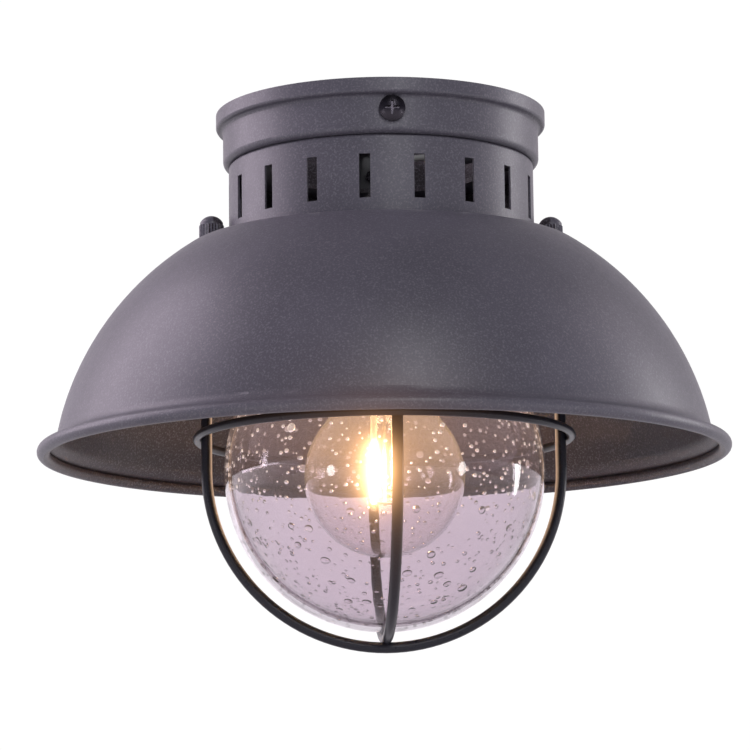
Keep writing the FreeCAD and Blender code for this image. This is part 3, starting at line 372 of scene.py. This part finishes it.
def plated(name, colour, roughness, stretch=(1, 1, 1)):
    """Plated or bare metal with fine lines and small changes of shine."""
    material, tree, shader = new_material(name)
    give(tree, 1.0, shader.inputs["Metallic"])
    tone = mottled(tree, colour, size=0.006, detail=3.0, darkest=0.85)
    give(tree, tone, shader.inputs["Base Color"])
    lines = noise(tree, size=0.0012, detail=4.0, roughness=0.6, stretch=stretch)
    roughen(tree, shader, lines, low=roughness - 0.08, high=roughness + 0.12)
    bump(tree, shader, lines, distance=0.00003, strength=0.4)
    return material


def moulded(name, colour, roughness):
    """Plastic or rubber with a fine grain."""
    material, tree, shader = new_material(name)
    tone = mottled(tree, colour, size=0.008, darkest=0.88)
    give(tree, tone, shader.inputs["Base Color"])
    roughen(tree, shader, noise(tree, size=0.002), low=roughness - 0.05, high=roughness + 0.08)
    bump(tree, shader, noise(tree, size=0.0006), distance=0.00003, strength=0.4)
    return material


def porcelain(name):
    """Glazed porcelain with a few specks, in dark tones that are painted shade, as it looks in
    the shade behind the neck's slots.
    """
    material, tree, shader = new_material(name)
    specks = ramp(tree, noise(tree, size=0.0007, detail=1.0), PORCELAIN_SPECKS)
    body = two_tone(tree, noise(tree, size=0.01), *PORCELAIN_SHADED_TONES)
    give(tree, blend(tree, specks, body, PORCELAIN_SPECK), shader.inputs["Base Color"])
    roughen(tree, shader, noise(tree, size=0.003), low=0.10, high=0.22)
    give(tree, 0.5, shader.inputs["Coat Weight"])
    bump(tree, shader, noise(tree, size=0.005), distance=0.0001, strength=0.3)
    return material


def clear_glass(name, colour, ior, wave, wave_size, painted_glow):
    """Blown glass: nearly smooth, with slow waves in its surface and a painted glow for the
    bulb's light, grainy and growing with height.
    """
    material, tree, shader = new_material(name)
    give(tree, 1.0, shader.inputs["Transmission Weight"])
    give(tree, ior, shader.inputs["IOR"])
    tint = mottled(tree, colour, size=0.03, darkest=0.985)
    give(tree, tint, shader.inputs["Base Color"])
    roughen(tree, shader, noise(tree, size=0.012), low=0.0, high=0.02)
    bump(tree, shader, noise(tree, wave_size), distance=wave, strength=0.5)
    # Painted light: the glass glows by itself, more toward the top, for the bulb's light
    # scattered in it.
    painted_glow_colour, strength, heights = painted_glow
    grains = noise(tree, size=0.0012, detail=3.0, roughness=0.7)
    level = spread(tree, grains, low=0.2 * strength, high=1.8 * strength)
    glow(tree, shader, painted_glow_colour, maths(tree, "MULTIPLY", rise(tree, *heights), level))
    return material


def filament(name):
    """Glowing wire, dimmer toward its upper end."""
    material, tree, shader = new_material(name)
    grains = noise(tree, size=0.0015)
    give(tree, two_tone(tree, grains, *FILAMENT_METAL), shader.inputs["Base Color"])
    give(tree, two_tone(tree, grains, *FILAMENT_GLOW), shader.inputs["Emission Color"])
    top = FILAMENT_TOP_SHARE * FILAMENT_BRIGHTNESS
    level = spread(tree, rise(tree, *FILAMENT_FADES), low=FILAMENT_BRIGHTNESS, high=top)
    give(tree, level, shader.inputs["Emission Strength"])
    roughen(tree, shader, grains, low=0.4, high=0.6)
    return material


# The maker of each material, and what it is given besides the name.
FINISHES = {
    "powder_coat": (powder_coat, SHADE_COAT),
    "cage_coat": (powder_coat, CAGE_COAT),
    "leg_coat": (powder_coat, CAGE_COAT),
    "dark_screw": (plated, {"colour": (0.055, 0.050, 0.060), "roughness": 0.26}),
    # Painted shade: the zinc-plated steel parts get a dark tone, as they look in the shade inside
    # the canopy and neck.
    "zinc_steel": (
        plated,
        {"colour": (0.11, 0.11, 0.113), "roughness": 0.40, "stretch": (1, 6, 1)},
    ),
    "green_screw": (plated, {"colour": (0.03, 0.28, 0.09), "roughness": 0.36}),
    "porcelain": (porcelain, {}),
    "socket_brass": (
        plated,
        {"colour": (0.52, 0.37, 0.17), "roughness": 0.32, "stretch": (1, 1, 6)},
    ),
    "black_lead": (moulded, {"colour": (0.022, 0.022, 0.022), "roughness": 0.42}),
    "white_lead": (moulded, {"colour": (0.30, 0.30, 0.29), "roughness": 0.42}),
    "connector_shell": (moulded, {"colour": (0.09, 0.09, 0.10), "roughness": 0.40}),
    "seeded_glass": (
        clear_glass,
        {
            "colour": (0.79, 0.735, 0.78),
            "ior": 1.50,
            "wave": 0.0002,
            "wave_size": 0.018,
            "painted_glow": GLOBE_PAINTED_GLOW,
        },
    ),
    "gasket": (moulded, {"colour": (0.03, 0.03, 0.03), "roughness": 0.70}),
    "bubble_glass": (
        clear_glass,
        {
            "colour": (0.98, 0.97, 0.98),
            "ior": 1.22,
            "wave": 0.0001,
            "wave_size": 0.018,
            "painted_glow": BUBBLE_PAINTED_GLOW,
        },
    ),
    "bulb_glass": (
        clear_glass,
        {
            "colour": (0.95, 0.93, 0.94),
            "ior": 1.36,
            "wave": 0.0002,
            "wave_size": 0.02,
            "painted_glow": BULB_PAINTED_GLOW,
        },
    ),
    "cap_nickel": (
        plated,
        {"colour": (0.70, 0.69, 0.66), "roughness": 0.28, "stretch": (1, 1, 6)},
    ),
    "cap_insulator": (moulded, {"colour": (0.012, 0.012, 0.014), "roughness": 0.16}),
    "support_wire": (plated, {"colour": (0.45, 0.45, 0.45), "roughness": 0.30}),
    "filament": (filament, {}),
}

# The cage's wires take these in place of the shade's coat; the side hoop's has painted light on
# its inner side.
CAGE_FINISHES = {
    "side_hoop": "leg_coat",
    "front_hoop": "cage_coat",
    "guard_ring": "cage_coat",
    "seat_ring": "cage_coat",
}


def make_materials():
    made = {name: maker(name, **values) for name, (maker, values) in FINISHES.items()}
    paint_inner_side_light(made["leg_coat"])
    return made


def dress_nodes(materials):
    for obj in nodes.values():
        for slot in obj.material_slots:
            base = slot.material.name.split(".")[0]
            if base == "powder_coat":
                base = CAGE_FINISHES.get(obj.name, base)
            slot.material = materials[base]


def new_piece(name, corners, faces, material):
    data = bpy.data.meshes.new(name)
    data.from_pydata(corners, [], faces)
    data.shade_smooth()
    data.materials.append(material)
    obj = bpy.data.objects.new(name, data)
    bpy.context.scene.collection.objects.link(obj)
    return obj


# ---- the globe's bubbles ----

GLOBE_CENTRE = Vector((0, 0, -0.1334))
GLOBE_MIDDLE_R = 0.0578
BUBBLE_SEED = 11
BUBBLE_COUNT = 1150
BUBBLE_TOP_Z = -0.098
BUBBLE_SMALL_R = (0.00035, 0.00085)
BUBBLE_LARGE_R = (0.0011, 0.0019)
BUBBLE_LARGE_SHARE = 0.06
BUBBLE_FLATNESS = (0.28, 0.42)
BUBBLE_MOST_THROUGH = 0.00055
BUBBLE_OFF_MIDDLE = 0.00025
BUBBLE_APART = 0.0004
BUBBLE_LONGER = (1.0, 1.25)
BALL_SEGMENTS = 12
BALL_RINGS = 7


def place_bubbles():
    """Centre, radius across, radius through the wall, direction and lengthening of each bubble.

    They lie at random in the globe's wall, none nearer to another than BUBBLE_APART.
    """
    rng = random.Random(BUBBLE_SEED)
    placed = []
    while len(placed) < BUBBLE_COUNT:
        z = rng.uniform(-1, 1)
        turn = rng.uniform(0, 2 * math.pi)
        flat = math.sqrt(1 - z * z)
        out = Vector((flat * math.cos(turn), flat * math.sin(turn), z))
        across = rng.uniform(*BUBBLE_SMALL_R)
        if rng.random() < BUBBLE_LARGE_SHARE:
            across = rng.uniform(*BUBBLE_LARGE_R)
        through = min(across * rng.uniform(*BUBBLE_FLATNESS), BUBBLE_MOST_THROUGH)
        off_middle = rng.uniform(-BUBBLE_OFF_MIDDLE, BUBBLE_OFF_MIDDLE)
        centre = GLOBE_CENTRE + out * (GLOBE_MIDDLE_R + off_middle)
        if centre.z > BUBBLE_TOP_Z:
            continue
        if all((centre - other[0]).length > across + other[1] + BUBBLE_APART for other in placed):
            placed.append((centre, across, through, out, rng.uniform(*BUBBLE_LONGER)))
    return placed


def ball_mesh():
    """Corners and faces of a unit ball whose faces look inward, as a hollow in glass needs."""
    mesh = bmesh.new()
    bmesh.ops.create_uvsphere(mesh, u_segments=BALL_SEGMENTS, v_segments=BALL_RINGS, radius=1.0)
    bmesh.ops.reverse_faces(mesh, faces=mesh.faces)
    corners = [corner.co.copy() for corner in mesh.verts]
    faces = [[corner.index for corner in face.verts] for face in mesh.faces]
    mesh.free()
    return corners, faces


def add_bubbles(material):
    ball, ball_faces = ball_mesh()
    corners = []
    faces = []
    for centre, across, through, out, longer in place_bubbles():
        turn = out.to_track_quat("Z", "Y").to_matrix().to_4x4()
        size = Matrix.Diagonal((across * longer, across, through, 1))
        place = Matrix.Translation(centre) @ turn @ size
        faces += [[len(corners) + corner for corner in face] for face in ball_faces]
        corners += [place @ corner for corner in ball]
    obj = new_piece("globe_bubbles", corners, faces, material)
    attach(obj, "cage")
    return obj


# ---- the lit filaments' own light, and their glare in the camera ----

FILAMENT_CENTRE = Vector((0, 0, -0.1265))
BULB_LIGHT_COLOUR = (1.0, 0.60, 0.28)
BULB_LIGHT_POWER = 0.40
BULB_LIGHT_RADIUS = 0.008

# Both glares start at the same brightness: a tight core, then a wide warm haze.
GLARE_THRESHOLD = 1.6
GLARE_SMOOTHNESS = 0.1
GLARES = (
    {"Strength": 3.6, "Size": 0.045, "Tint": (1.0, 0.84, 0.60, 1.0)},
    {"Strength": 1.0, "Size": 0.20, "Tint": (1.0, 0.76, 0.46, 1.0)},
)


def add_bulb_light():
    data = bpy.data.lights.new("bulb_light", "POINT")
    data.color = BULB_LIGHT_COLOUR
    data.energy = BULB_LIGHT_POWER
    data.shadow_soft_size = BULB_LIGHT_RADIUS
    light = bpy.data.objects.new("bulb_light", data)
    light.location = FILAMENT_CENTRE
    light.visible_camera = False
    light.visible_transmission = False
    bpy.context.scene.collection.objects.link(light)


def add_glare():
    scene = bpy.context.scene
    scene.use_nodes = True
    tree = scene.node_tree
    tree.nodes.clear()
    layers = tree.nodes.new("CompositorNodeRLayers")
    image = layers.outputs["Image"]
    for settings in GLARES:
        glare = tree.nodes.new("CompositorNodeGlare")
        glare.glare_type = "BLOOM"
        glare.inputs["Threshold"].default_value = GLARE_THRESHOLD
        glare.inputs["Smoothness"].default_value = GLARE_SMOOTHNESS
        for key, value in settings.items():
            glare.inputs[key].default_value = value
        tree.links.new(image, glare.inputs["Image"])
        image = glare.outputs["Image"]
    out = tree.nodes.new("CompositorNodeComposite")
    tree.links.new(image, out.inputs["Image"])


# ---- floor ----

FLOOR_Z = -0.95
FLOOR_HALF = 14.0
FLOOR_GREYS = (0.66, 0.70)
# The floor grows brighter away from the lantern, as a lit studio sweep does.
FLOOR_GLOW = {"From Min": 0.9, "From Max": 2.2, "To Min": 0.0, "To Max": 0.55}
FLOOR_GLOW_COLOUR = (1.0, 0.96, 1.0)


def add_floor():
    material, tree, shader = new_material("floor")
    give(tree, two_tone(tree, noise(tree, size=0.8), *FLOOR_GREYS), shader.inputs["Base Color"])
    roughen(tree, shader, noise(tree, size=0.05), low=0.7, high=0.9)
    place = tree.nodes.new("ShaderNodeTexCoord")
    away = vector_maths(tree, "LENGTH", place.outputs["Object"], result="Value")
    glow(tree, shader, FLOOR_GLOW_COLOUR, map_range(tree, away, FLOOR_GLOW, smooth=True))
    around = ((-1, -1), (1, -1), (1, 1), (-1, 1))
    corners = [Vector((x * FLOOR_HALF, y * FLOOR_HALF, FLOOR_Z)) for x, y in around]
    floor = new_piece("floor", corners, [[0, 1, 2, 3]], material)


# ---- the scene ----

add_camera()
add_world()
for box_name, box_values in SOFT_BOXES.items():
    add_soft_box(box_name, *box_values)
add_floor()
finishes = make_materials()
dress_nodes(finishes)
bubbles = add_bubbles(finishes["bubble_glass"])
add_bulb_light()
add_glare()
# The clear pieces cast no shadow, so the light goes through them.
for clear in (nodes["globe"], nodes["bulb_envelope"], bubbles):
    clear.visible_shadow = False

scene = bpy.context.scene
scene.view_settings.view_transform = "Standard"
scene.cycles.max_bounces = 24
scene.cycles.transmission_bounces = 20
scene.cycles.glossy_bounces = 8
